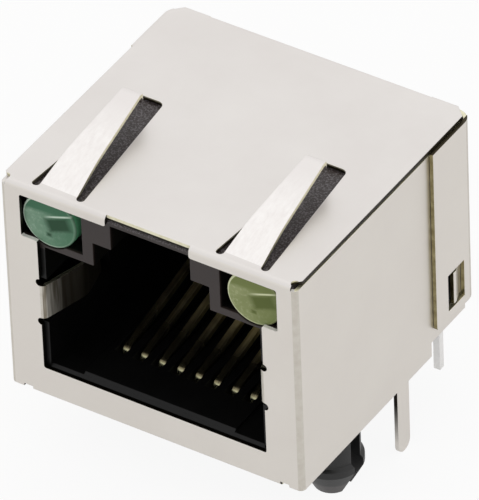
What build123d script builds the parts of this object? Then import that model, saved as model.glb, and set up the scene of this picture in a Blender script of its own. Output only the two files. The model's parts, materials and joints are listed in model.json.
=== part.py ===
from build123d import *
import math
import os

os.makedirs("parts", exist_ok=True)

# Shielded modular jack for a printed circuit board, with two indicator lamps, in millimetres.
# z = 0 is the board's top face, y = 0 the line through the two pegs, and the plug enters along +y.

# Shield: one folded sheet
shell_w = 16.3            # across the outer faces of the side walls
shell_d = 15.4            # front face to rear face
shell_h = 12.5            # board to the top plate's outer face
sheet_t = 0.2
bend_inside = 0.1         # inside radius of the folds
peg_setback = 5.25        # front face to the peg line
wall_lift = 0.2           # the side walls end this far above the board
lip_lift = 0.02
lip_d = 2.0               # lip folded under the housing
lip_relief_w = 0.5        # small cuts beside the lip's fold
lip_relief_z = 0.34
lip_inset = 1.25          # outer faces of the walls to the lip's ends

# Shield: opening for the plug, the lamps and the plug's latch
port_w = 12.4
port_z = 1.8              # lower edge of the opening
window_inset = 1.075      # outer faces of the walls to the lamp windows
window_z = 9.45
window_top_z = 11.9
latch_w = 4.6
opening_corner_r = 0.12

# Shield: side springs that touch the plug's own shield
spring_z = 4.8
spring_h = 1.95
spring_reach = 4.3        # how far they run into the port
spring_bow = 0.95         # how far they stand in from the opening's edge
spring_bow_at = 0.6       # place of the bow, as a share of the reach
spring_return = 0.4       # their ends turn back outwards by this much
spring_bow_r = 1.5
relief_r = 0.2

# Shield: top fingers that touch the panel
finger_inset = 3.08       # outer faces of the walls to the fingers' centre lines
finger_root_w = 2.05
finger_shift = 0.12       # both fingers sit this far left of the middle
finger_tip_w = 0.98
finger_start = 0.56       # root, from the front face
finger_l = 6.83
finger_rise = 1.59
finger_drop = 0.6
finger_curl = 0.3         # length of the turned-down tip
finger_knee_l = 1.94      # the steeper first part of the rise
finger_knee_rise = 0.69
finger_root_r = 1.0
finger_knee_r = 8.0
finger_crest_r = 0.45
finger_tip_r = 0.45
finger_slot = 0.42
finger_window_l = 7.98
finger_window_end_w = 1.46
window_corner_r = 0.35

# Shield: rear ears that hook on the side walls
ear_l = 3.7
ear_gap = 0.02
ear_lift = 1.6            # the ears end this far above the board
ear_drop = 0.2            # and this far below the top face
ear_corner_r = 0.3
ear_bend_r = 0.85         # outside radius of their folds at the rear corners
ear_window_w = 1.45
ear_window_h = 2.15
ear_window_y = 1.92       # window's centre, from the rear face
ear_window_z = 3.2
hook_play = 0.15
hook_gap = 0.49           # window's front edge to the hook's free edge
hook_crest = 0.22         # flat length behind the free edge
hook_slope = 0.57         # and the length of the slope back to the wall
hook_r = 0.3
fold_inset = 2.0          # outer faces of the walls to the rear fold's ends
rear_tab_in = 0.15        # flat tabs beside the rear fold end this far inside it
rear_corner_cut = 0.55
back_lift = 0.3
side_notch_d = 3.9        # low rear corner cut from the side walls
side_notch_z = 1.02

# Shield: solder tabs
tab_w = 1.03
tab_inset = 6.52          # rear face to the tabs' centre line
tab_l = 3.7               # below the board's top face

# Housing
housing_play = 0.1        # housing to the shield's sides
roof_play = 0.05          # and to its top plate
face_play = 0.05          # housing to the shield's front
housing_lift = 0.4
housing_short = 4.25      # the housing is this much shorter than the shell
housing_chamfer = 0.2
foot_w = 1.6
foot_d = 1.4
foot_inset = 0.35
cheek_t = 0.5             # side walls of the housing run on beside the lamp leads
cheek_z = 1.6
cheek_gap = 0.9           # cheeks to the rear panel

# Housing: space for the plug
plug_w = 11.9
carrier_cover = 0.5       # length of the carrier's block inside the housing
floor_z = 1.92
rail_w = 8.4              # raised middle of the floor
rail_h = 0.13
floor_t = 0.6
ledge_z = 9.02
key_w = 6.44
key_z = 10.38
catch_w = 4.4
catch_z = 11.8
catch_d = 1.6             # the plug's latch hooks behind this
key_stop = 1.9            # wall behind the key's space
rail_chamfer = 0.26
floor_chamfer = 0.14

# Housing: spring recesses beside the port
recess_h = 2.6
recess_d = 5.2
recess_t = 0.6

# Lamps
lamp_inset = 2.5          # outer faces of the walls to the lamps' axes
lamp_z = 10.63
lamp_r = 1.48
lamp_l = 4.9
lamp_rim = 0.1
lamp_setback = 0.28       # front face of the shield to the lamp's face
lamp_play = 0.03
pocket_w = 3.45
pocket_reach = 1.85       # lamp's axis to the pocket's inner wall
pocket_floor_z = 9.42
pocket_roof = 0.2
pocket_d = 0.9

# Lamp leads
lead_t = 0.35
lead_pitch = 2.0          # inside the lamp
lead_spread = 2.4         # at the board
cup_w = 1.0
post_w = 0.6
frame_gap = 0.22          # between the cup and the post
cup_setback = 1.1         # lamp's face to the lead frame
cup_l = 0.9
lead_bend_r = 0.4
lead_end_z = -2.9

# Pegs
peg_pitch = 12.7
peg_r = 1.43
barb_r = 1.6
barb_start = 1.8          # below the board's top face
barb_flare = 0.15
barb_land = 0.36
peg_tip_r = 0.9
peg_tip_round = 0.3
peg_l = 3.73
peg_slot = 0.8
peg_slot_top = 0.3        # the slot ends this far below the board's top face

# Contacts
contact_count = 8
contact_pitch = 1.016
contact_w = 0.35
contact_t = 0.3
contact_tip = 2.93        # front face to the hairpin bend
contact_rise = 12.5       # slope of the spring arm in degrees
contact_end = 0.35        # the arms end this far behind the carrier's face
contact_leg_z = 1.0
contact_top_z = 1.9       # top of the hairpin bend
hairpin_r = 0.45
pin_bend_r = 0.3
pin_end_z = -3.2
row_inset = 1.26          # rear face of the shell to the rear row of pins
row_pitch = 2.54          # between the two rows
pin_taper = 0.1

# Contact carrier
carrier_play = 0.05
carrier_foot_w = 9.3
carrier_block_w = 7.9     # behind the housing, between the lamp leads
carrier_rear_gap = 0.35   # to the shield's rear panel
groove_slack = 0.04
comb_h = 2.4
comb_w = 0.6
comb_d = 0.7
comb_rise = 0.25          # above the contacts' ends
slot_start = 0.5          # floor slots begin this far before the hairpin bends
slot_end = 0.3            # and end this far before the carrier
carrier_chamfer = 0.6

# Places that follow
front_y = -peg_setback
rear_y = front_y + shell_d
half_w = shell_w / 2
window_w = shell_w - 2 * window_inset
lip_w = shell_w - 2 * lip_inset
finger_pitch = shell_w - 2 * finger_inset
rear_fold_w = shell_w - 2 * fold_inset
lamp_pitch = shell_w - 2 * lamp_inset
bend_r = bend_inside + sheet_t
top_in_z = shell_h - sheet_t
wall_top_z = shell_h - bend_r
side_in_x = half_w - sheet_t
flat_half_w = half_w - bend_r
face_y = front_y + sheet_t + face_play
housing_w = 2 * (side_in_x - housing_play)
housing_top_z = top_in_z - roof_play
housing_d = shell_d - housing_short
housing_rear_y = face_y + housing_d
rail_z = floor_z + rail_h
key_d = housing_d - key_stop
carrier_face_y = housing_rear_y - carrier_cover
carrier_rear_y = rear_y - sheet_t - carrier_rear_gap
floor_under_z = rail_z - floor_t - rail_h
tip_y = front_y + contact_tip
row_rear = rear_y - row_inset
row_front = row_rear - row_pitch
contact_xs = [(i - (contact_count - 1) / 2) * contact_pitch for i in range(contact_count)]
sides = (-1, 1)


def across(y):
    """Plane square to the plug's path; a negative extrusion goes inwards."""
    return Plane.XZ.offset(-y)


def folded(points, radii, side, thickness=sheet_t):
    """Section of a folded strip; the points lie on one of its faces."""
    with BuildSketch() as section:
        with BuildLine():
            face = FilletPolyline(*points, radius=radii)
            offset(face, amount=thickness, side=side)
        make_face()
    return section.sketch


def near(shape_list, axis, value, tolerance=0.01):
    """Edges or vertices that lie at one value along an axis."""
    return shape_list.filter_by_position(axis, value - tolerance, value + tolerance)


# Top finger: rises from its root and turns down at its tip
finger_root_y = front_y + finger_start
finger_tip_y = finger_root_y + finger_l
with BuildPart() as finger:
    with BuildSketch(Plane.YZ):
        crest = (finger_tip_y - finger_curl, shell_h + finger_rise)
        knee = (finger_root_y + finger_knee_l, shell_h + finger_knee_rise)
        add(folded([(front_y, shell_h), (finger_root_y, shell_h), knee, crest,
                    (finger_tip_y, shell_h + finger_rise - finger_drop)],
                   [finger_root_r, finger_knee_r, finger_crest_r], Side.RIGHT))
    extrude(amount=finger_root_w / 2, both=True)
    with BuildSketch(Plane.XY.offset(top_in_z)):
        with BuildLine():
            right = Polyline((0, finger_root_y - sheet_t), (finger_root_w / 2, finger_root_y - sheet_t),
                             (finger_root_w / 2, finger_root_y), (finger_tip_w / 2, finger_tip_y),
                             (0, finger_tip_y))
            mirror(right, about=Plane.YZ)
        plan = make_face()
        fillet(near(plan.vertices(), Axis.Y, finger_tip_y), radius=finger_tip_r)
    extrude(amount=finger_rise + 2 * sheet_t, mode=Mode.INTERSECT)

# Shield
ear_out_x = half_w + ear_gap + sheet_t
ear_front_y = rear_y - ear_l
ear_top_z = shell_h - ear_drop
wall_rear_y = rear_y - ear_bend_r
opening_top_z = shell_h + sheet_t
spring_foot_x = port_w / 2 + relief_r
window_y = rear_y - ear_window_y
hook_y = window_y - ear_window_w / 2 + hook_gap
hook_h = ear_window_h - 2 * hook_play
fold_half_w = rear_fold_w / 2
with BuildPart() as shield:
    # Front and side walls
    with BuildSketch(Plane.XY.offset(wall_lift)):
        add(folded([(-half_w, wall_rear_y), (-half_w, front_y), (half_w, front_y), (half_w, wall_rear_y)],
                   bend_r, Side.LEFT))
    extrude(amount=wall_top_z - wall_lift)
    with BuildSketch(Plane.YZ):
        with Locations((rear_y, 0)):
            Rectangle(side_notch_d, 2 * side_notch_z, align=(Align.MAX, Align.CENTER))
    extrude(amount=shell_w, both=True, mode=Mode.SUBTRACT)

    # Lip, front and top in one strip
    with BuildSketch(Plane.YZ):
        add(folded([(front_y + lip_d, lip_lift), (front_y, lip_lift), (front_y, shell_h),
                    (front_y + 2 * bend_r, shell_h)], bend_r, Side.RIGHT))
    extrude(amount=flat_half_w, both=True)
    with BuildSketch(Plane.XY):
        with Locations((0, front_y)):
            Rectangle(2 * shell_w, 3 * lip_d)
            Rectangle(lip_w, 3 * lip_d, mode=Mode.SUBTRACT)
    extrude(amount=wall_lift, mode=Mode.SUBTRACT)
    with BuildSketch(Plane.XY):
        with Locations(*[(side * (lip_w + lip_relief_w) / 2, front_y) for side in sides]):
            Rectangle(lip_relief_w, 2 * bend_r)
    extrude(amount=lip_relief_z, mode=Mode.SUBTRACT)

    # Top plate's outline, with flat tabs beside the rear fold
    corner_y = rear_y - rear_tab_in
    with BuildSketch(Plane.XY.offset(top_in_z)):
        with BuildLine():
            right = Polyline((0, front_y + bend_r), (flat_half_w, front_y + bend_r),
                             (half_w, front_y + 2 * bend_r), (half_w, corner_y - rear_corner_cut),
                             (half_w - rear_corner_cut, corner_y), (fold_half_w, corner_y),
                             (fold_half_w, rear_y - bend_r), (0, rear_y - bend_r))
            mirror(right, about=Plane.YZ)
        make_face()
    extrude(amount=sheet_t)

    # Ears, joined across the rear panel
    with BuildSketch(Plane.XY.offset(ear_lift)):
        add(folded([(-ear_out_x, ear_front_y), (-ear_out_x, rear_y), (ear_out_x, rear_y),
                    (ear_out_x, ear_front_y)], ear_bend_r, Side.RIGHT))
    extrude(amount=ear_top_z - ear_lift)
    with BuildSketch(Plane.XY.offset(wall_top_z)):
        with Locations((0, rear_y)):
            Rectangle(shell_w, 2 * ear_bend_r)
    extrude(amount=top_in_z - wall_top_z, mode=Mode.SUBTRACT)

    # Rear fold and rear panel
    with BuildSketch(Plane.YZ):
        add(folded([(rear_y - 2 * bend_r, shell_h), (rear_y, shell_h), (rear_y, back_lift)],
                   bend_r, Side.RIGHT))
    extrude(amount=fold_half_w, both=True)
    ear_corners = near(near(shield.edges().filter_by(Axis.X), Axis.Y, ear_front_y), Axis.Z, ear_lift)
    fillet(ear_corners, radius=ear_corner_r)

    # Opening in the front
    with BuildSketch(across(front_y)) as opening:
        with Locations((0, port_z)):
            Rectangle(port_w, window_z - port_z, align=(Align.CENTER, Align.MIN))
        with Locations((0, window_z)):
            Rectangle(window_w, window_top_z - window_z, align=(Align.CENTER, Align.MIN))
        with Locations((0, window_top_z)):
            Rectangle(latch_w, opening_top_z - window_top_z, align=(Align.CENTER, Align.MIN))
        fillet(opening.vertices(), radius=opening_corner_r)
        with Locations(*[(side * port_w / 2, z) for side in sides
                         for z in (spring_z - relief_r, spring_z + spring_h + relief_r)]):
            Circle(relief_r)
    extrude(amount=-sheet_t, mode=Mode.SUBTRACT)

    # Side springs
    for side in sides:
        with BuildSketch(Plane.XY.offset(spring_z)):
            spring_x = port_w / 2 - sheet_t
            bow_x = port_w / 2 - spring_bow
            add(folded([(side * spring_foot_x, front_y), (side * spring_x, front_y),
                        (side * bow_x, front_y + spring_bow_at * spring_reach),
                        (side * (bow_x + spring_return), front_y + spring_reach)],
                       [bend_r, spring_bow_r], Side.LEFT if side < 0 else Side.RIGHT))
        extrude(amount=spring_h)

    # Windows for the top fingers
    with BuildSketch(Plane.XY.offset(top_in_z)):
        window_half_w = finger_root_w / 2 + finger_slot
        window_end_y = finger_root_y + finger_window_l
        for side in sides:
            finger_x = side * finger_pitch / 2 - finger_shift
            end_half_w = finger_window_end_w / 2
            with BuildLine():
                Polyline((finger_x - window_half_w, finger_root_y),
                         (finger_x + window_half_w, finger_root_y),
                         (finger_x + end_half_w, window_end_y),
                         (finger_x - end_half_w, window_end_y), close=True)
            window = make_face()
            fillet(near(window.vertices(), Axis.Y, window_end_y), radius=window_corner_r)
            slot_x = window_half_w - finger_slot / 2
            with Locations((finger_x - slot_x, finger_root_y), (finger_x + slot_x, finger_root_y)):
                Circle(finger_slot / 2)
    extrude(amount=sheet_t, mode=Mode.SUBTRACT)
    with Locations((finger_pitch / 2 - finger_shift, 0, 0), (-finger_pitch / 2 - finger_shift, 0, 0)):
        add(finger.part)

    # Reliefs at the front's upper corners
    with BuildSketch(Plane.XY.offset(wall_top_z)):
        with Locations(*[(side * (flat_half_w + relief_r / 2), front_y + bend_r) for side in sides]):
            Circle(relief_r)
    extrude(amount=bend_r, mode=Mode.SUBTRACT)

    # Solder tabs
    tab_y = rear_y - tab_inset
    with BuildSketch(Plane.YZ):
        with Locations((tab_y, wall_lift + sheet_t)):
            Rectangle(tab_w, tab_l + wall_lift + sheet_t - tab_w / 2, align=(Align.CENTER, Align.MAX))
        with Locations((tab_y, tab_w / 2 - tab_l)):
            Circle(tab_w / 2)
    extrude(amount=half_w, both=True)
    with BuildSketch(Plane.YZ):
        with Locations((tab_y, wall_lift + sheet_t)):
            Rectangle(2 * tab_w, 2 * tab_l, align=(Align.CENTER, Align.MAX))
    extrude(amount=side_in_x, both=True, mode=Mode.SUBTRACT)

    # Windows in the ears, and the hooks cut from the side walls
    with BuildSketch(Plane.YZ):
        with Locations((window_y, ear_window_z)):
            Rectangle(ear_window_w, ear_window_h)
    extrude(amount=ear_out_x + sheet_t, both=True, mode=Mode.SUBTRACT)
    for side in sides:
        with BuildSketch(Plane.XY.offset(ear_window_z - hook_h / 2)):
            root_y = window_y + ear_window_w / 2 + sheet_t
            crest_y = hook_y + hook_crest
            add(folded([(side * half_w, root_y), (side * half_w, crest_y + hook_slope),
                        (side * ear_out_x, crest_y), (side * ear_out_x, hook_y)],
                       hook_r, Side.RIGHT if side > 0 else Side.LEFT))
        extrude(amount=hook_h)
shield.part.label = "shield"
export_step(shield.part, "parts/shield.step")

# Housing: block with the plug's space, lamp tunnels, feet and split pegs
foot_xs = (housing_w - foot_w) / 2 - foot_inset
with BuildPart() as housing:
    with BuildSketch(across(face_y)):
        with Locations((0, housing_lift)):
            Rectangle(housing_w, housing_top_z - housing_lift, align=(Align.CENTER, Align.MIN))
    extrude(amount=-housing_d)
    chamfer(housing.faces().sort_by(Axis.Z)[-1].edges(), length=housing_chamfer)

    # Plug's space with its raised floor
    with BuildSketch(across(face_y)):
        with BuildLine():
            right = Polyline((0, rail_z), (rail_w / 2, rail_z), (rail_w / 2, floor_z),
                             (plug_w / 2, floor_z), (plug_w / 2, ledge_z), (key_w / 2, ledge_z),
                             (key_w / 2, key_z), (catch_w / 2, key_z), (catch_w / 2, catch_z),
                             (0, catch_z))
            mirror(right, about=Plane.YZ)
        make_face()
    extrude(amount=-housing_d, mode=Mode.SUBTRACT)
    with BuildSketch(across(face_y + catch_d)):
        with Locations((0, ledge_z)):
            Rectangle(key_w, catch_z - ledge_z, align=(Align.CENTER, Align.MIN))
    extrude(amount=catch_d - key_d, mode=Mode.SUBTRACT)
    with BuildSketch(across(face_y + key_d)):
        with Locations((0, ledge_z)):
            Rectangle(key_w, catch_z - ledge_z, align=(Align.CENTER, Align.MIN))
    extrude(amount=key_d - housing_d)
    for top_z, cut, half_span in ((rail_z, rail_chamfer, rail_w / 2), (floor_z, floor_chamfer, plug_w / 2)):
        with BuildSketch(Plane.YZ):
            with BuildLine():
                Polyline((face_y, top_z - cut), (face_y + cut, top_z), (face_y, top_z), close=True)
            make_face()
        extrude(amount=half_span, both=True, mode=Mode.SUBTRACT)

    # Bay under the floor for the carrier
    with BuildSketch(across(tip_y - slot_start)):
        Rectangle(carrier_foot_w + 2 * carrier_play, 2 * floor_under_z)
    extrude(amount=-housing_d, mode=Mode.SUBTRACT)

    # Slots for the contacts
    slot_l = carrier_face_y - slot_end - (tip_y - slot_start)
    with BuildSketch(Plane.XY.offset(floor_under_z)):
        with Locations(*[(x, tip_y - slot_start) for x in contact_xs]):
            Rectangle(comb_w, slot_l, align=(Align.CENTER, Align.MIN))
    extrude(amount=rail_z - floor_under_z, mode=Mode.SUBTRACT)

    # Recesses for the side springs
    with BuildSketch(across(face_y)):
        with Locations(*[(side * plug_w / 2, spring_z + spring_h / 2) for side in sides]):
            Rectangle(2 * recess_t, recess_h)
    extrude(amount=-recess_d, mode=Mode.SUBTRACT)

    # Lamp pockets and the tunnels behind them
    with BuildSketch(across(face_y)):
        for side in sides:
            with Locations((side * (lamp_pitch / 2 - pocket_reach), pocket_floor_z)):
                Rectangle(pocket_w, housing_top_z - pocket_roof - pocket_floor_z,
                          align=(Align.MIN if side > 0 else Align.MAX, Align.MIN))
    extrude(amount=-pocket_d, mode=Mode.SUBTRACT)
    lamp_rear_y = front_y + lamp_setback + lamp_l
    with BuildSketch(across(face_y)):
        with Locations(*[(side * lamp_pitch / 2, lamp_z) for side in sides]):
            Circle(lamp_r + lamp_play)
    extrude(amount=face_y - lamp_rear_y - lamp_play, mode=Mode.SUBTRACT)
    with BuildSketch(across(lamp_rear_y)):
        with Locations(*[(side * lamp_pitch / 2, lamp_z) for side in sides]):
            Rectangle(lead_pitch + lead_t + 4 * lamp_play, lead_t + 4 * lamp_play)
    extrude(amount=-housing_d, mode=Mode.SUBTRACT)

    # Cheeks beside the lamp leads
    with BuildSketch(Plane.XY.offset(cheek_z)):
        with Locations(*[(side * (housing_w - cheek_t) / 2, housing_rear_y) for side in sides]):
            Rectangle(cheek_t, rear_y - cheek_gap - housing_rear_y, align=(Align.CENTER, Align.MIN))
    extrude(amount=ledge_z - cheek_z)

    # Feet
    with BuildSketch(Plane.XY):
        with Locations(*[(side * foot_xs, y) for side in sides
                         for y in (front_y + lip_d + foot_d, housing_rear_y - foot_d)]):
            Rectangle(foot_w, foot_d)
    extrude(amount=housing_lift)

    # Split pegs with a barb under the board
    barb_top_z = -barb_start - barb_flare
    with BuildSketch(Plane.XZ):
        with BuildLine():
            Polyline((0, housing_lift), (peg_r, housing_lift), (peg_r, -barb_start), (barb_r, barb_top_z),
                     (barb_r, barb_top_z - barb_land), (peg_tip_r, -peg_l), (0, -peg_l), close=True)
        peg_face = make_face()
        fillet(near(near(peg_face.vertices(), Axis.Z, -peg_l), Axis.X, peg_tip_r), radius=peg_tip_round)
    peg_blank = revolve(axis=Axis.Z, mode=Mode.PRIVATE)
    with Locations((-peg_pitch / 2, 0, 0), (peg_pitch / 2, 0, 0)):
        add(peg_blank)
    with BuildSketch(Plane.XY.offset(-peg_slot_top)):
        with Locations((-peg_pitch / 2, 0), (peg_pitch / 2, 0)):
            Rectangle(3 * barb_r, peg_slot)
    extrude(amount=-peg_l, mode=Mode.SUBTRACT)
housing.part.label = "housing"
export_step(housing.part, "parts/housing.step")

# Contact carrier: foot under the floor, block behind the plug's space
leg_top_z = contact_leg_z + contact_t
groove_w = contact_w + 2 * groove_slack
rows = [row_front if i % 2 == 0 else row_rear for i in range(contact_count)]
arm_slope = math.tan(math.radians(contact_rise))
arm_end_y = carrier_face_y + contact_end
arm_end_z = contact_top_z + (arm_end_y - tip_y) * arm_slope
with BuildPart() as carrier:
    with BuildSketch(across(tip_y + hairpin_r)):
        with Locations((0, housing_lift)):
            Rectangle(carrier_foot_w, floor_under_z - carrier_play - housing_lift,
                      align=(Align.CENTER, Align.MIN))
    extrude(amount=tip_y + hairpin_r - housing_rear_y)
    with BuildSketch(across(carrier_face_y)):
        with Locations((0, rail_z + carrier_play)):
            Rectangle(plug_w - 2 * carrier_play, ledge_z - rail_z - 2 * carrier_play,
                      align=(Align.CENTER, Align.MIN))
    extrude(amount=carrier_face_y - housing_rear_y)
    with BuildSketch(across(housing_rear_y)):
        with Locations((0, housing_lift)):
            Rectangle(carrier_block_w, ledge_z - carrier_play - housing_lift,
                      align=(Align.CENTER, Align.MIN))
    extrude(amount=housing_rear_y - carrier_rear_y)
    rear_edges = near(carrier.edges().filter_by(Axis.X), Axis.Y, carrier_rear_y)
    chamfer(rear_edges.sort_by(Axis.Z)[-1], length=carrier_chamfer)

    # Comb that guides the free ends of the contacts
    with BuildSketch(across(carrier_face_y)):
        with Locations(*[(x, arm_end_z + comb_rise) for x in contact_xs]):
            Rectangle(comb_w, comb_h, align=(Align.CENTER, Align.MAX))
    extrude(amount=-comb_d, mode=Mode.SUBTRACT)

    # Grooves for the contacts' legs and holes for their pins
    for x, row in zip(contact_xs, rows):
        with BuildSketch(across(tip_y)):
            with Locations((x, contact_leg_z)):
                Rectangle(groove_w, contact_t + groove_slack, align=(Align.CENTER, Align.MIN))
        extrude(amount=-(row + contact_t / 2 + groove_slack - tip_y), mode=Mode.SUBTRACT)
        with BuildSketch(Plane.XY):
            with Locations((x, row + contact_t / 2 + groove_slack)):
                Rectangle(groove_w, contact_t + pin_bend_r + groove_slack, align=(Align.CENTER, Align.MAX))
        extrude(amount=leg_top_z, mode=Mode.SUBTRACT)
carrier.part.label = "contact_carrier"
export_step(carrier.part, "parts/contact_carrier.step")

# Contacts: pin, leg under the floor, hairpin bend and spring arm
for number, (x, row) in enumerate(zip(contact_xs, rows), start=1):
    with BuildPart() as contact:
        with BuildSketch(Plane.YZ.offset(x)):
            pin_y = row - contact_t / 2
            add(folded([(pin_y, pin_end_z), (pin_y, contact_leg_z), (tip_y, contact_leg_z),
                        (tip_y, contact_top_z), (arm_end_y, arm_end_z)],
                       [pin_bend_r, hairpin_r, hairpin_r], Side.RIGHT, contact_t))
        extrude(amount=contact_w / 2, both=True)
        chamfer(near(contact.edges(), Axis.Z, pin_end_z), length=pin_taper)
    contact.part.label = f"contact_{number}"
    export_step(contact.part, f"parts/contact_{number}.step")

# Lamps with their lead frames
lamp_face_y = front_y + lamp_setback
frame_y = lamp_face_y + cup_setback
spread_y = housing_rear_y + lead_t
for colour, side in (("green", -1), ("yellow", 1)):
    lamp_x = side * lamp_pitch / 2
    leads = []
    for name, end, head_w in (("cup_lead", -1, cup_w), ("post_lead", 1, post_w)):
        near_x = lamp_x + end * lead_pitch / 2
        far_x = lamp_x + end * lead_spread / 2
        inner_x = lamp_x + end * frame_gap / 2 + (0 if end < 0 else (cup_w - post_w) / 2)
        turn_y = row_rear - lead_t / 2
        bend_y = turn_y - lead_bend_r
        with BuildPart() as lead:
            with BuildSketch(Plane.XY.offset(lamp_z - lead_t / 2)):
                with BuildLine():
                    shift = end * lead_t / 2
                    straight_y = spread_y + lead_spread - lead_pitch
                    Polyline((near_x - shift, frame_y + cup_l), (inner_x, frame_y + cup_l),
                             (inner_x, frame_y), (inner_x + end * head_w, frame_y),
                             (near_x + shift, frame_y + cup_l), (near_x + shift, spread_y),
                             (far_x + shift, straight_y), (far_x + shift, bend_y),
                             (far_x - shift, bend_y), (far_x - shift, straight_y),
                             (near_x - shift, spread_y), close=True)
                make_face()
            extrude(amount=lead_t)
            with BuildSketch(Plane.YZ.offset(far_x)):
                under_z = lamp_z - lead_t / 2
                add(folded([(bend_y - lead_t, under_z), (turn_y, under_z), (turn_y, lead_end_z)],
                           lead_bend_r, Side.LEFT, lead_t))
            extrude(amount=lead_t / 2, both=True)
        leads.append(lead.part)
        lead.part.label = f"{colour}_lamp_{name}"
        export_step(lead.part, f"parts/{colour}_lamp_{name}.step")
    with BuildPart() as lamp:
        with BuildSketch(across(lamp_face_y)):
            with Locations((lamp_x, lamp_z)):
                Circle(lamp_r)
        extrude(amount=-lamp_l)
        fillet(near(lamp.edges(), Axis.Y, lamp_face_y), radius=lamp_rim)
        add(leads, mode=Mode.SUBTRACT)
    lamp.part.label = f"{colour}_lamp"
    export_step(lamp.part, f"parts/{colour}_lamp.step")
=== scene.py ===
import json
import math

import bmesh
import bpy
from mathutils import Matrix, Vector
from mathutils.bvhtree import BVHTree


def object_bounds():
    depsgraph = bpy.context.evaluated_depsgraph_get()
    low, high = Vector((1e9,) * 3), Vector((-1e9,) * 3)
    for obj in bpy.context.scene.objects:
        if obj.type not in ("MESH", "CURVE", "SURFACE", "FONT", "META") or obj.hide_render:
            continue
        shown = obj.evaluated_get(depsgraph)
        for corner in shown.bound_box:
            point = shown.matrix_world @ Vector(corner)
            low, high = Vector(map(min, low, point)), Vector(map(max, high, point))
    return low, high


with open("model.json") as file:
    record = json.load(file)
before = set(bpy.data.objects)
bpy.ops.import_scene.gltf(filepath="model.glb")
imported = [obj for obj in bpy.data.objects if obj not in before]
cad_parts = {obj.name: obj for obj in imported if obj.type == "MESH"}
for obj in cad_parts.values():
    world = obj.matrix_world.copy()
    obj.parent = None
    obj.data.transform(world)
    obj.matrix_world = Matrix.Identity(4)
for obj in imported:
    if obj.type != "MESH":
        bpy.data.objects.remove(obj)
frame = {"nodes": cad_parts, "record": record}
cad_low, cad_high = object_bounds()
nodes = frame["nodes"]
scene = bpy.context.scene
front_y, floor_z = cad_low[1], cad_low[2]
MM = 0.001

# Camera: place, direction in degrees and lens, fitted to the photograph
CAMERA_PLACE = (0.20101, -0.29704, 0.29862)
CAMERA_AZIMUTH = 33.870
CAMERA_ELEVATION = 39.048
CAMERA_ROLL = -2.393
CAMERA_LENS = 741.1
SENSOR_WIDTH = 36.0
CLIP_START = 0.01
CLIP_END = 10

# Light: even light from all around, and one soft lamp above
STUDIO_LEVEL = 0.92
WHITE_LEVEL = 1.0         # what the camera and reflections see of the background
KEY_PLACE = (-0.15, 0.10, 0.55)
KEY_TARGET = (0, 0.002, 0.006)
KEY_SIZE = 0.40
KEY_POWER = 0.06

# Floor
FLOOR_SIZE = 2
FLOOR_COLOUR = (0.80, 0.79, 0.78)
FLOOR_ROUGHNESS = 0.9
FLOOR_GLOW = 0.91         # share of the floor that stays plain white to the camera
FLOOR_SHEEN = 0.62        # and in the metal

# Places on the shield, for telling its faces apart
SHEET = 0.2 * MM          # thickness of the sheet
PLATE_TOP = 12.5 * MM
PORT_TOP = 8.9 * MM
PORT_HALF_WIDTH = 6.25 * MM
LAMP_LEDGE = 7.5 * MM     # edges of the front's opening above this lie at the lamps
SIDE_SEAM = 8.0 * MM      # faces beyond this belong to the side walls and their seams
SPRING_LOW = 4.75 * MM
SPRING_HIGH = 6.80 * MM
SPRING_REACH = 4.6 * MM

# Spans along one axis in which a shade sets in
FINGER_FADE = (front_y + 4.0 * MM, front_y + 6.2 * MM)
SPRING_FADE = (front_y + 0.5 * MM, front_y + 1.2 * MM)
FOOT_FADE = (-3.0 * MM, -0.6 * MM)
HOUSING_ROOF = (PLATE_TOP - 0.6 * MM, PLATE_TOP - 0.5 * MM)
PORT_MOUTH = (front_y + 0.30 * MM, front_y + 0.45 * MM)
BOARD_SIDE = (-0.3 * MM, 0)

# Rectangles seen from the front: centre and half size, each in x and z
LATCH_LINE = ((0, PLATE_TOP - 1.25 * SHEET), (3 * MM, 0.3 * SHEET))
UNDER_LINE = ((6.25 * MM, PLATE_TOP - 0.75 * SHEET), (13.75 * MM, 0.34 * SHEET))
# Where the plastic is painted with shade: the port, and everything behind the housing's face
PORT_CENTRE = (0, 0.5 * PORT_TOP)
PORT_LOW = (PORT_CENTRE, (9 * MM, 0.5 * PORT_TOP))
PORT_INNER = (PORT_CENTRE, (9 * MM, PLATE_TOP - 0.5 * PORT_TOP - 0.55 * MM))
LINE_BLUR = 0.15
PORT_BLUR = 0.01

# Noise textures: stretch, scale, detail and roughness
EVEN = (1, 1, 1)
NOISES = {
    "sheet_grain": (EVEN, 2600, 4, 0.6),
    "sheet_rolling": ((1, 0.12, 1), 1400, 3, 0.6),
    "sheet_cloud": (EVEN, 260, 4, 0.6),
    "finger_grain": ((1, 0.35, 0.6), 5200, 4, 0.65),
    "spring_scratches": ((1, 1, 0.05), 3800, 3, 0.6),
    "plastic_grain": (EVEN, 9000, 3, 0.6),
    "plastic_cloud": (EVEN, 500, 3, 0.6),
    "plastic_sparkle": (EVEN, 14000, 2, 0.5),
    "lamp_cloud": (EVEN, 700, 2, 0.5),
    "lamp_specks": (EVEN, 5200, 3, 0.6),
    "gold_lines": ((6, 0.3, 0.3), 1500, 3, 0.6),
    "gold_patches": (EVEN, 900, 2, 0.5),
    "tin_cloud": (EVEN, 1800, 4, 0.6),
}

# Spans of a noise's or a share's value that a ramp covers
SOFT = (0.3, 0.7)
SHARE = (0, 1)
SCRATCH_SPAN = (0.4, 0.6)
SPARKLE_SPAN = (0.46, 0.64)
LAMP_CLOUD_SPAN = (0.35, 0.65)
SPECK_SPAN = (0.5, 0.8)
TARNISH_SPAN = (0.44, 0.60)

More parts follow.
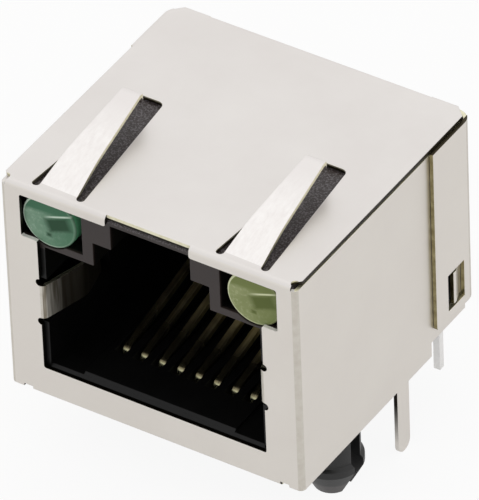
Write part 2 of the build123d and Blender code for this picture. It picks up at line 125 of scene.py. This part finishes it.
# Relief of each surface: strength and depth of the bump, radius of the rounded edges
RELIEFS = {
    "sheet": (0.12, 0.01 * MM, 0.035 * MM),
    "plastic": (0.35, 0.02 * MM, 0.05 * MM),
    "lamp": (0.05, 0.01 * MM, 0.06 * MM),
    "gold": (0.03, 0.01 * MM, 0.03 * MM),
    "tin": (0.10, 0.01 * MM, 0.03 * MM),
}
EDGE_SAMPLES = 6

# Colours of the shield, darkest and palest
SHEET_COLOURS = {
    "plate": ((0.735, 0.70, 0.675), (0.775, 0.745, 0.72)),
    "wall": ((0.738, 0.698, 0.650), (0.778, 0.742, 0.694)),
    # Paler than the plate: painted sheen over the fingers' own finer grain
    "finger": ((0.83, 0.795, 0.775), (0.91, 0.885, 0.865)),
    "edge": ((0.72, 0.68, 0.48), (0.90, 0.87, 0.68)),
    "ear": ((0.24, 0.205, 0.10), (0.46, 0.41, 0.24)),
    # Near black at the side seams and the front's openings: the dark cut edges, deepened with painted
    # shade of the gaps beside them
    "seam": ((0.008, 0.006, 0.004), (0.035, 0.028, 0.015)),
    "rest": ((0.70, 0.68, 0.64), (0.80, 0.78, 0.74)),
    # Darker band on the bends between the front and the sides: painted shade
    "fold_shade": ((0.60, 0.56, 0.50), (0.67, 0.64, 0.58)),
    "spring": ((0.26, 0.23, 0.18), (0.84, 0.81, 0.73)),
}
# Duller tone at the fingers' tips, where their painted sheen fades
FINGER_TIP = (0.795, 0.760, 0.742)
LATCH_SHADE = (0.010, 0.008, 0.003)
UNDER_SHADE = (0.06, 0.05, 0.03)
FOOT_SHADE = (0.03, 0.025, 0.018)
SPRING_SHADE = (0.06, 0.05, 0.035)
SPRING_DEPTH = 0.94       # how strong the springs' shade gets
SHEET_GLOSS = (0.36, 0.46)
SPRING_WEAR = 0.08        # the springs are this much rougher
DULL_METAL = 0.1
DULL_SHINE = 0.1

# Plastic
HOUSING_COLOURS = ((0.018, 0.011, 0.010), (0.028, 0.019, 0.017))
CARRIER_COLOURS = ((0.006, 0.006, 0.006), (0.010, 0.009, 0.009))
# Pale specks on the housing's roof: painted sparkle where it faces the light above
SPARKLE = (0.125, 0.112, 0.118)
# Painted shade in the port and behind the face: near-black colour, and shine dimmed to a share
PORT_PAINTED_SHADE = (0.002, 0.002, 0.002)
PORT_SHINE = 0.6          # as a share of the shine elsewhere
PEG_SHINE = 0.95
FACE_SHINE = 0.43
PLASTIC_GLOSS = (0.38, 0.48)

# Lamps
LAMP_TINTS = {
    "green_lamp": {"dark": (0.008, 0.060, 0.021), "colour": (0.044, 0.160, 0.082),
                   "pale": (0.24, 0.39, 0.275), "speck_and_highlight": (0.60, 0.76, 0.62),
                   # The green barrel is painted paler than the face's full tint: painted light in the
                   # lamp's dim pocket
                   "barrel": (0.15, 0.52, 0.26)},
    "yellow_lamp": {"dark": (0.098, 0.130, 0.020), "colour": (0.175, 0.215, 0.060),
                    "pale": (0.33, 0.37, 0.17), "speck_and_highlight": (0.72, 0.76, 0.48),
                    "barrel": (0.175, 0.215, 0.060)},
}
# Marks on a lamp's face: tint, centre from the lamp's axis, half size, blur and turn
LAMP_MARKS = (
    ("colour", (0, 1.15 * MM), (2.0 * MM, 0.66 * MM), 0.18, 3),               # shade of the plate
    ("dark", (0.52 * MM, 0.0 * MM), (0.66 * MM, 0.36 * MM), 0.28, 21),        # cup
    ("dark", (-0.02 * MM, -0.76 * MM), (0.13 * MM, 0.09 * MM), 0.6, 0),       # bond
    ("speck_and_highlight", (0.60 * MM, 0.52 * MM), (0.62 * MM, 0.045 * MM), 0.5, 20),     # glint
)
LAMP_CLOUDS = 0.45
LAMP_SPECKS = 0.4
LAMP_ACROSS = (-1.1 * MM, 1.0 * MM)       # from the pale to the full tint, from the lamp's axis
LAMP_FULL_TINT = 0.85
# Painted highlight on the face's rounded rim: its radii, and its fade to the right
RIM_HIGHLIGHT = (1.35 * MM, 1.39 * MM)
RIM_FADE = (-0.5 * MM, 1.0 * MM)
RIM_LEFT_OVER = 0.12
BARREL = (0.11 * MM, 0.14 * MM)           # behind the lamp's face
LAMP_GLOSS = 0.25
LAMP_SHINE = 0.2
LAMP_CLEAR = 0.12
RESIN_IOR = 1.5

# Contacts and leads
GOLD_COLOURS = ((0.66, 0.52, 0.20), (0.92, 0.76, 0.36))
# Painted shade on the arms near the contacts' tips, over their drawing lines
GOLD_ARM_SHADE = ((0.05, 0.043, 0.025), (0.30, 0.26, 0.15))
GOLD_TARNISH = (0.38, 0.29, 0.12)
# Painted highlight at the contacts' tips
GOLD_TIP_HIGHLIGHT = (0.60, 0.58, 0.36)
GOLD_BACK = (1.6 * MM, 4.4 * MM)          # behind the contacts' tips
GOLD_RIGHT = (-4.0 * MM, 2.0 * MM)
GOLD_LEFT_SHARE = 0.1
# Depth behind the tips that the painted highlight covers
TIP_HIGHLIGHT_SPAN = (0.07 * MM, 0.16 * MM)
ARM_LOW = (1.1 * MM, 1.4 * MM)
GOLD_METAL = (0.95, 0.3)                  # at the front and at the back
GOLD_GLOSS = (0.26, 0.46)
TIN_COLOURS = ((0.82, 0.81, 0.79), (0.92, 0.91, 0.90))
TIN_GLOSS = (0.34, 0.48)


def connect(tree, value, socket):
    """Links a socket to an input, or sets the input to a number or a colour."""
    if isinstance(value, bpy.types.NodeSocket):
        tree.links.new(value, socket)
    elif isinstance(value, tuple):
        socket.default_value = (*value, 1)
    else:
        socket.default_value = value


def node_tree(name):
    """New material with an empty node tree, its output and a principled shader."""
    material = bpy.data.materials.new(name)
    material.use_nodes = True
    tree = material.node_tree
    tree.nodes.clear()
    output = tree.nodes.new("ShaderNodeOutputMaterial")
    shader = tree.nodes.new("ShaderNodeBsdfPrincipled")
    tree.links.new(shader.outputs["BSDF"], output.inputs["Surface"])
    return material, tree, shader


def object_place(tree):
    """Object coordinates."""
    return tree.nodes.new("ShaderNodeTexCoord").outputs["Object"]


def noise(tree, name):
    """Noise value between 0 and 1, from the table of textures."""
    stretch, scale, detail, roughness = NOISES[name]
    mapping = tree.nodes.new("ShaderNodeMapping")
    mapping.inputs["Scale"].default_value = stretch
    tree.links.new(object_place(tree), mapping.inputs["Vector"])
    texture = tree.nodes.new("ShaderNodeTexNoise")
    texture.inputs["Scale"].default_value = scale
    texture.inputs["Detail"].default_value = detail
    texture.inputs["Roughness"].default_value = roughness
    tree.links.new(mapping.outputs["Vector"], texture.inputs["Vector"])
    return texture.outputs["Fac"]


def ramp(tree, value, span=SOFT, low=0, high=1):
    """Maps a span of a value on to a range between two numbers."""
    node = tree.nodes.new("ShaderNodeMapRange")
    node.inputs["From Min"].default_value, node.inputs["From Max"].default_value = span
    node.inputs["To Min"].default_value = low
    node.inputs["To Max"].default_value = high
    tree.links.new(value, node.inputs["Value"])
    return node.outputs["Result"]


def along(tree, axis, span, low=0, high=1):
    """Ramp along one object coordinate."""
    parts = tree.nodes.new("ShaderNodeSeparateXYZ")
    tree.links.new(object_place(tree), parts.inputs["Vector"])
    return ramp(tree, parts.outputs[axis], span, low, high)


def from_here(place, span):
    """A span measured from a place."""
    return place + span[0], place + span[1]


def blend(tree, share, first, second):
    """Mixes two colours or sockets by a share."""
    node = tree.nodes.new("ShaderNodeMix")
    node.data_type = "RGBA"
    tree.links.new(share, node.inputs["Factor"])
    connect(tree, first, node.inputs[6])
    connect(tree, second, node.inputs[7])
    return node.outputs[2]


def calculate(tree, operation, *values):
    """Math node on sockets and numbers."""
    node = tree.nodes.new("ShaderNodeMath")
    node.operation = operation
    for value, socket in zip(values, node.inputs):
        connect(tree, value, socket)
    return node.outputs["Value"]


def both(tree, first, second):
    """Product of two shares."""
    return calculate(tree, "MULTIPLY", first, second)


def face_mark(tree, name):
    """Share stored on the faces by mark_sheet."""
    node = tree.nodes.new("ShaderNodeAttribute")
    node.attribute_name = name
    return node.outputs["Fac"]


def patch(tree, centre, half, blur, turn=0):
    """Share from 0 to 1 inside a soft-edged rectangle, seen from the front."""
    mapping = tree.nodes.new("ShaderNodeMapping")
    mapping.vector_type = "TEXTURE"
    mapping.inputs["Location"].default_value = (centre[0], 0, centre[1])
    mapping.inputs["Rotation"].default_value = (0, -math.radians(turn), 0)
    mapping.inputs["Scale"].default_value = (half[0], 1, half[1])
    tree.links.new(object_place(tree), mapping.inputs["Vector"])
    size = tree.nodes.new("ShaderNodeVectorMath")
    size.operation = "ABSOLUTE"
    tree.links.new(mapping.outputs["Vector"], size.inputs[0])
    parts = tree.nodes.new("ShaderNodeSeparateXYZ")
    tree.links.new(size.outputs["Vector"], parts.inputs["Vector"])
    largest = calculate(tree, "MAXIMUM", parts.outputs["X"], parts.outputs["Z"])
    return ramp(tree, largest, (1 - blur, 1 + blur), 1, 0)


def relief(tree, shader, height, name):
    """Bump from a height, on edges rounded by a small radius."""
    strength, depth, radius = RELIEFS[name]
    edges = tree.nodes.new("ShaderNodeBevel")
    edges.samples = EDGE_SAMPLES
    edges.inputs["Radius"].default_value = radius
    node = tree.nodes.new("ShaderNodeBump")
    node.inputs["Strength"].default_value = strength
    node.inputs["Distance"].default_value = depth
    tree.links.new(height, node.inputs["Height"])
    tree.links.new(edges.outputs["Normal"], node.inputs["Normal"])
    tree.links.new(node.outputs["Normal"], shader.inputs["Normal"])


def plate_material():
    """Satin nickel-plated sheet with olive cut edges, dark seams deepened with painted shade, scuffed
    springs, painted sheen on the fingers and painted shade on the bends.
    """
    material, tree, shader = node_tree("nickel_plate")
    grain = noise(tree, "sheet_grain")
    cloud = noise(tree, "sheet_cloud")

    def sheet_colour(name, texture, span=SOFT):
        return blend(tree, ramp(tree, texture, span), *SHEET_COLOURS[name])

    wall = sheet_colour("wall", cloud)
    # The fingers are painted paler than the plate as painted sheen, fading towards their tips
    finger = sheet_colour("finger", noise(tree, "finger_grain"))
    finger = blend(tree, along(tree, "Y", FINGER_FADE), finger, FINGER_TIP)
    edge = sheet_colour("edge", grain)
    latch = blend(tree, patch(tree, *LATCH_LINE, LINE_BLUR), edge, LATCH_SHADE)
    edge = blend(tree, patch(tree, *UNDER_LINE, LINE_BLUR), edge, UNDER_SHADE)
    # The cut edges' dark tone at the seams and openings, deepened with painted shade
    seam = sheet_colour("seam", grain)
    spring = sheet_colour("spring", noise(tree, "spring_scratches"), SCRATCH_SPAN)
    spring = blend(tree, along(tree, "Y", SPRING_FADE, 0, SPRING_DEPTH), spring, SPRING_SHADE)
    foot = blend(tree, along(tree, "Z", FOOT_FADE), wall, FOOT_SHADE)

    # Later marks lie over earlier ones
    colour = sheet_colour("plate", cloud)
    for name, paint in (("upright", wall), ("finger", finger), ("cut_edge", edge), ("opening_edge", seam),
                        ("ear_edge", sheet_colour("ear", grain)), ("seam_edge", seam), ("foot_edge", foot),
                        ("rest_edge", sheet_colour("rest", grain)), ("latch_edge", latch),
                        ("upright_fold", sheet_colour("fold_shade", grain)), ("side_spring", spring)):
        colour = blend(tree, face_mark(tree, name), colour, paint)
    connect(tree, colour, shader.inputs["Base Color"])
    metal = ramp(tree, face_mark(tree, "dull_edge"), SHARE, 1, DULL_METAL)
    connect(tree, metal, shader.inputs["Metallic"])
    connect(tree, DULL_SHINE, shader.inputs["Specular IOR Level"])
    gloss = ramp(tree, cloud, SOFT, *SHEET_GLOSS)
    rough = calculate(tree, "MULTIPLY_ADD", face_mark(tree, "side_spring"), SPRING_WEAR, gloss)
    connect(tree, rough, shader.inputs["Roughness"])
    relief(tree, shader, calculate(tree, "ADD", grain, noise(tree, "sheet_rolling")), "sheet")
    return material


def plastic_material(name, colours):
    """Matt black plastic with a fine spark-eroded texture, painted deep black with shade in the port and
    behind its face.
    """
    material, tree, shader = node_tree(name)
    cloud = noise(tree, "plastic_cloud")
    inner = both(tree, patch(tree, *PORT_INNER, PORT_BLUR), along(tree, "Y", PORT_MOUTH))
    port = calculate(tree, "MAXIMUM", patch(tree, *PORT_LOW, PORT_BLUR), inner)
    tint = blend(tree, ramp(tree, cloud), *colours)
    sparkle = ramp(tree, noise(tree, "plastic_sparkle"), SPARKLE_SPAN)
    # Painted sparkle on the housing's roof
    tint = blend(tree, both(tree, sparkle, along(tree, "Z", HOUSING_ROOF)), tint, SPARKLE)
    # Painted shade: near black in the port and behind the face, with less shine there
    tint = blend(tree, port, tint, PORT_PAINTED_SHADE)
    connect(tree, tint, shader.inputs["Base Color"])
    shine = both(tree, ramp(tree, port, SHARE, 1, PORT_SHINE),
                 along(tree, "Z", BOARD_SIDE, PEG_SHINE, FACE_SHINE))
    connect(tree, shine, shader.inputs["Specular IOR Level"])
    connect(tree, ramp(tree, cloud, SOFT, *PLASTIC_GLOSS), shader.inputs["Roughness"])
    relief(tree, shader, noise(tree, "plastic_grain"), "plastic")
    return material


def lamp_material(name, node):
    """Tinted, diffusing resin with the lead frame's cup showing through, a painted highlight on its rim, a
    painted glint, the plate's painted shade, and for green a barrel painted paler as painted light.
    """
    material, tree, shader = node_tree(name)
    tints = LAMP_TINTS[node]
    corners = [Vector(corner) for corner in nodes[node].bound_box]
    x = sum(corner.x for corner in corners) / len(corners)
    z = sum(corner.z for corner in corners) / len(corners)
    face_y = min(corner.y for corner in corners)
    cloud = noise(tree, "lamp_cloud")
    clouds = ramp(tree, cloud, LAMP_CLOUD_SPAN, 0, LAMP_CLOUDS)
    specks = ramp(tree, noise(tree, "lamp_specks"), SPECK_SPAN, 0, LAMP_SPECKS)
    across = along(tree, "X", from_here(x, LAMP_ACROSS), 0, LAMP_FULL_TINT)
    tint = blend(tree, clouds, tints["pale"], tints["colour"])
    tint = blend(tree, specks, tint, tints["speck_and_highlight"])
    tint = blend(tree, across, tint, tints["colour"])
    for paint, offset, half, blur, turn in LAMP_MARKS:
        mark = patch(tree, (x + offset[0], z + offset[1]), half, blur, turn)
        tint = blend(tree, mark, tint, tints[paint])

    # Painted highlight on the rim around the face, fading to the right, and the barrel behind it
    offset = tree.nodes.new("ShaderNodeVectorMath")
    offset.operation = "MULTIPLY_ADD"
    tree.links.new(object_place(tree), offset.inputs[0])
    offset.inputs[1].default_value = (1, 0, 1)
    offset.inputs[2].default_value = (-x, 0, -z)
    radius = tree.nodes.new("ShaderNodeVectorMath")
    radius.operation = "LENGTH"
    tree.links.new(offset.outputs["Vector"], radius.inputs[0])
    rim = both(tree, ramp(tree, radius.outputs["Value"], RIM_HIGHLIGHT),
               along(tree, "X", from_here(x, RIM_FADE), 1, RIM_LEFT_OVER))
    tint = blend(tree, rim, tint, tints["speck_and_highlight"])
    # The barrel behind the face, for the green lamp painted paler as painted light
    tint = blend(tree, along(tree, "Y", from_here(face_y, BARREL)), tint, tints["barrel"])
    connect(tree, tint, shader.inputs["Base Color"])
    connect(tree, LAMP_GLOSS, shader.inputs["Roughness"])
    connect(tree, LAMP_SHINE, shader.inputs["Specular IOR Level"])
    connect(tree, LAMP_CLEAR, shader.inputs["Transmission Weight"])
    connect(tree, RESIN_IOR, shader.inputs["IOR"])
    relief(tree, shader, cloud, "lamp")
    return material


def gold_material():
    """Gold plating with drawing lines and tarnished patches along the contacts' arms, painted shade on the
    arms near their tips and a painted highlight at the tips.
    """
    material, tree, shader = node_tree("contact_gold")
    lines = noise(tree, "gold_lines")
    tip_y = min(corner[1] for corner in nodes["contact_1"].bound_box)
    # Share that is out of the arms' painted shade: behind the tips, and less on the left
    back = both(tree, along(tree, "Y", from_here(tip_y, GOLD_BACK)),
                along(tree, "X", GOLD_RIGHT, GOLD_LEFT_SHARE, 1))
    # Painted highlight on the front of the contacts' tips
    tip_highlight = along(tree, "Y", from_here(tip_y, TIP_HIGHLIGHT_SPAN), 1, 0)
    arm = along(tree, "Z", ARM_LOW)
    tarnish = both(tree, ramp(tree, noise(tree, "gold_patches"), TARNISH_SPAN), arm)
    gold = blend(tree, ramp(tree, lines), *GOLD_COLOURS)
    gold = blend(tree, tarnish, gold, GOLD_TARNISH)
    # The arms darkened with painted shade
    arm_shade = blend(tree, arm, gold, blend(tree, ramp(tree, lines), *GOLD_ARM_SHADE))
    tint = blend(tree, tip_highlight, blend(tree, back, arm_shade, gold), GOLD_TIP_HIGHLIGHT)
    connect(tree, tint, shader.inputs["Base Color"])
    connect(tree, ramp(tree, both(tree, back, arm), SHARE, *GOLD_METAL), shader.inputs["Metallic"])
    connect(tree, ramp(tree, back, SHARE, *GOLD_GLOSS), shader.inputs["Roughness"])
    relief(tree, shader, lines, "gold")
    return material


def tin_material():
    """Dull tin plating."""
    material, tree, shader = node_tree("tinned_lead")
    cloud = noise(tree, "tin_cloud")
    connect(tree, blend(tree, ramp(tree, cloud), *TIN_COLOURS), shader.inputs["Base Color"])
    connect(tree, 1.0, shader.inputs["Metallic"])
    connect(tree, ramp(tree, cloud, SOFT, *TIN_GLOSS), shader.inputs["Roughness"])
    relief(tree, shader, cloud, "tin")
    return material


def face_marks(face, cut):
    """Which marks a face of the shield gets; a cut face lies across the sheet."""
    normal = face.normal
    x, y, z = face.calc_center_median()
    slanted = abs(normal.x) > 0.15 and abs(normal.y) > 0.15 and abs(normal.z) < 0.05
    spring = abs(x) < PORT_HALF_WIDTH and SPRING_LOW < z < SPRING_HIGH \
        and y < front_y + SPRING_REACH and abs(normal.y) < 0.9
    at_side = abs(x) > SIDE_SEAM
    in_plate = z > PLATE_TOP - SHEET
    at_front = cut and not at_side and y < front_y + SHEET
    rest = at_front and normal.z > 0.5 and LAMP_LEDGE < z < PLATE_TOP - SHEET
    seam = cut and at_side and in_plate and x > 0
    latch = normal.y < -0.9 and abs(y - front_y - SHEET) < 0.1 * SHEET and z > PLATE_TOP - 1.5 * SHEET
    return {
        "upright": abs(normal.z) < 0.5,
        "finger": z > PLATE_TOP + 0.1 * SHEET and normal.z > 0,
        "cut_edge": cut and x > -SIDE_SEAM,
        "opening_edge": at_front and (abs(normal.x) > 0.5 or z < LAMP_LEDGE),
        "ear_edge": cut and at_side and not in_plate and normal.z < 0.5,
        "seam_edge": seam,
        "foot_edge": cut and z < 0,
        "rest_edge": rest,
        "latch_edge": latch,
        "dull_edge": rest or seam or latch,
        "upright_fold": slanted and not cut and not spring,
        "side_spring": spring and not cut,
    }


def mark_sheet(obj):
    """Stores on the shield's faces the marks that its material reads."""
    work = bmesh.new()
    work.from_mesh(obj.data)
    tree = BVHTree.FromBMesh(work)
    marks = {}
    for face in work.faces:
        inward = -face.normal
        start = face.calc_center_median() + inward * 0.02 * SHEET
        distance = tree.ray_cast(start, inward)[3]
        cut = distance is None or distance >= 1.6 * SHEET
        for name, marked in face_marks(face, cut).items():
            marks.setdefault(name, []).append(float(marked))
    work.free()
    for name, values in marks.items():
        attribute = obj.data.attributes.new(name, "FLOAT", "FACE")
        attribute.data.foreach_set("value", values)


def ray_share(tree, shares):
    """Sum of the shares of the kinds of ray that see plain white."""
    path = tree.nodes.new("ShaderNodeLightPath")
    total = 0
    for kind, share in shares.items():
        total = calculate(tree, "MULTIPLY_ADD", path.outputs[kind], share, total)
    return total


def make_floor():
    """Pale floor that keeps the part's shadow."""
    bpy.ops.mesh.primitive_plane_add(size=FLOOR_SIZE, location=(0, 0, floor_z))
    floor = bpy.context.object
    floor.name = "floor"
    material, tree, shader = node_tree("pale_floor")
    connect(tree, FLOOR_COLOUR, shader.inputs["Base Color"])
    connect(tree, FLOOR_ROUGHNESS, shader.inputs["Roughness"])
    glow = tree.nodes.new("ShaderNodeEmission")
    connect(tree, (1, 1, 1), glow.inputs["Color"])
    connect(tree, WHITE_LEVEL, glow.inputs["Strength"])
    mixer = tree.nodes.new("ShaderNodeMixShader")
    rays = {"Is Camera Ray": FLOOR_GLOW, "Is Glossy Ray": FLOOR_SHEEN, "Is Transmission Ray": FLOOR_SHEEN}
    tree.links.new(ray_share(tree, rays), mixer.inputs["Fac"])
    tree.links.new(shader.outputs["BSDF"], mixer.inputs[1])
    tree.links.new(glow.outputs["Emission"], mixer.inputs[2])
    output = next(node for node in tree.nodes if node.type == "OUTPUT_MATERIAL")
    tree.links.new(mixer.outputs["Shader"], output.inputs["Surface"])
    floor.data.materials.append(material)


def make_studio():
    """Even light from all around, plain white to the camera and in reflections."""
    world = bpy.data.worlds.new("studio")
    world.use_nodes = True
    scene.world = world
    tree = world.node_tree
    tree.nodes.clear()
    output = tree.nodes.new("ShaderNodeOutputWorld")
    background = tree.nodes.new("ShaderNodeBackground")
    rays = {"Is Camera Ray": 1.0, "Is Glossy Ray": 1.0, "Is Transmission Ray": 1.0}
    level = ramp(tree, ray_share(tree, rays), SHARE, STUDIO_LEVEL, WHITE_LEVEL)
    connect(tree, level, background.inputs["Strength"])
    connect(tree, (1, 1, 1), background.inputs["Color"])
    tree.links.new(background.outputs["Background"], output.inputs["Surface"])


def make_key():
    """Square area lamp that points at the part."""
    data = bpy.data.lights.new("key", "AREA")
    data.shape = "SQUARE"
    data.size = KEY_SIZE
    data.energy = KEY_POWER
    lamp = bpy.data.objects.new("key", data)
    lamp.location = KEY_PLACE
    direction = Vector(KEY_TARGET) - Vector(KEY_PLACE)
    lamp.rotation_euler = direction.to_track_quat("-Z", "Y").to_euler()
    scene.collection.objects.link(lamp)


def make_camera():
    """Camera with the place, direction, roll and lens fitted to the photograph."""
    azimuth = math.radians(CAMERA_AZIMUTH)
    elevation = math.radians(CAMERA_ELEVATION)
    roll = math.radians(CAMERA_ROLL)
    forward = Vector((-math.sin(azimuth) * math.cos(elevation), math.cos(azimuth) * math.cos(elevation),
                      -math.sin(elevation)))
    level_right = Vector((math.cos(azimuth), math.sin(azimuth), 0))
    level_up = level_right.cross(forward)
    right = math.cos(roll) * level_right + math.sin(roll) * level_up
    up = -math.sin(roll) * level_right + math.cos(roll) * level_up
    data = bpy.data.cameras.new("camera")
    data.sensor_fit = "HORIZONTAL"
    data.sensor_width = SENSOR_WIDTH
    data.lens = CAMERA_LENS
    data.clip_start = CLIP_START
    data.clip_end = CLIP_END
    camera = bpy.data.objects.new("camera", data)
    turn = Matrix((right, up, -forward)).transposed().to_4x4()
    camera.matrix_world = Matrix.Translation(CAMERA_PLACE) @ turn
    scene.collection.objects.link(camera)
    scene.camera = camera


# Materials of the record's slots
materials = {
    "shield_plate": plate_material(),
    "housing_plastic": plastic_material("housing_plastic", HOUSING_COLOURS),
    "carrier_plastic": plastic_material("carrier_plastic", CARRIER_COLOURS),
    "contact_gold": gold_material(),
    "lamp_green": lamp_material("lamp_green", "green_lamp"),
    "lamp_yellow": lamp_material("lamp_yellow", "yellow_lamp"),
    "tinned_lead": tin_material(),
}
for row in frame["record"]["subparts"]:
    slots = nodes[row["node"]].data.materials
    slots.clear()
    slots.append(materials[row["material_slot"]])
mark_sheet(nodes["shield"])

make_floor()
make_studio()
make_key()
make_camera()
scene.view_settings.view_transform = "Standard"
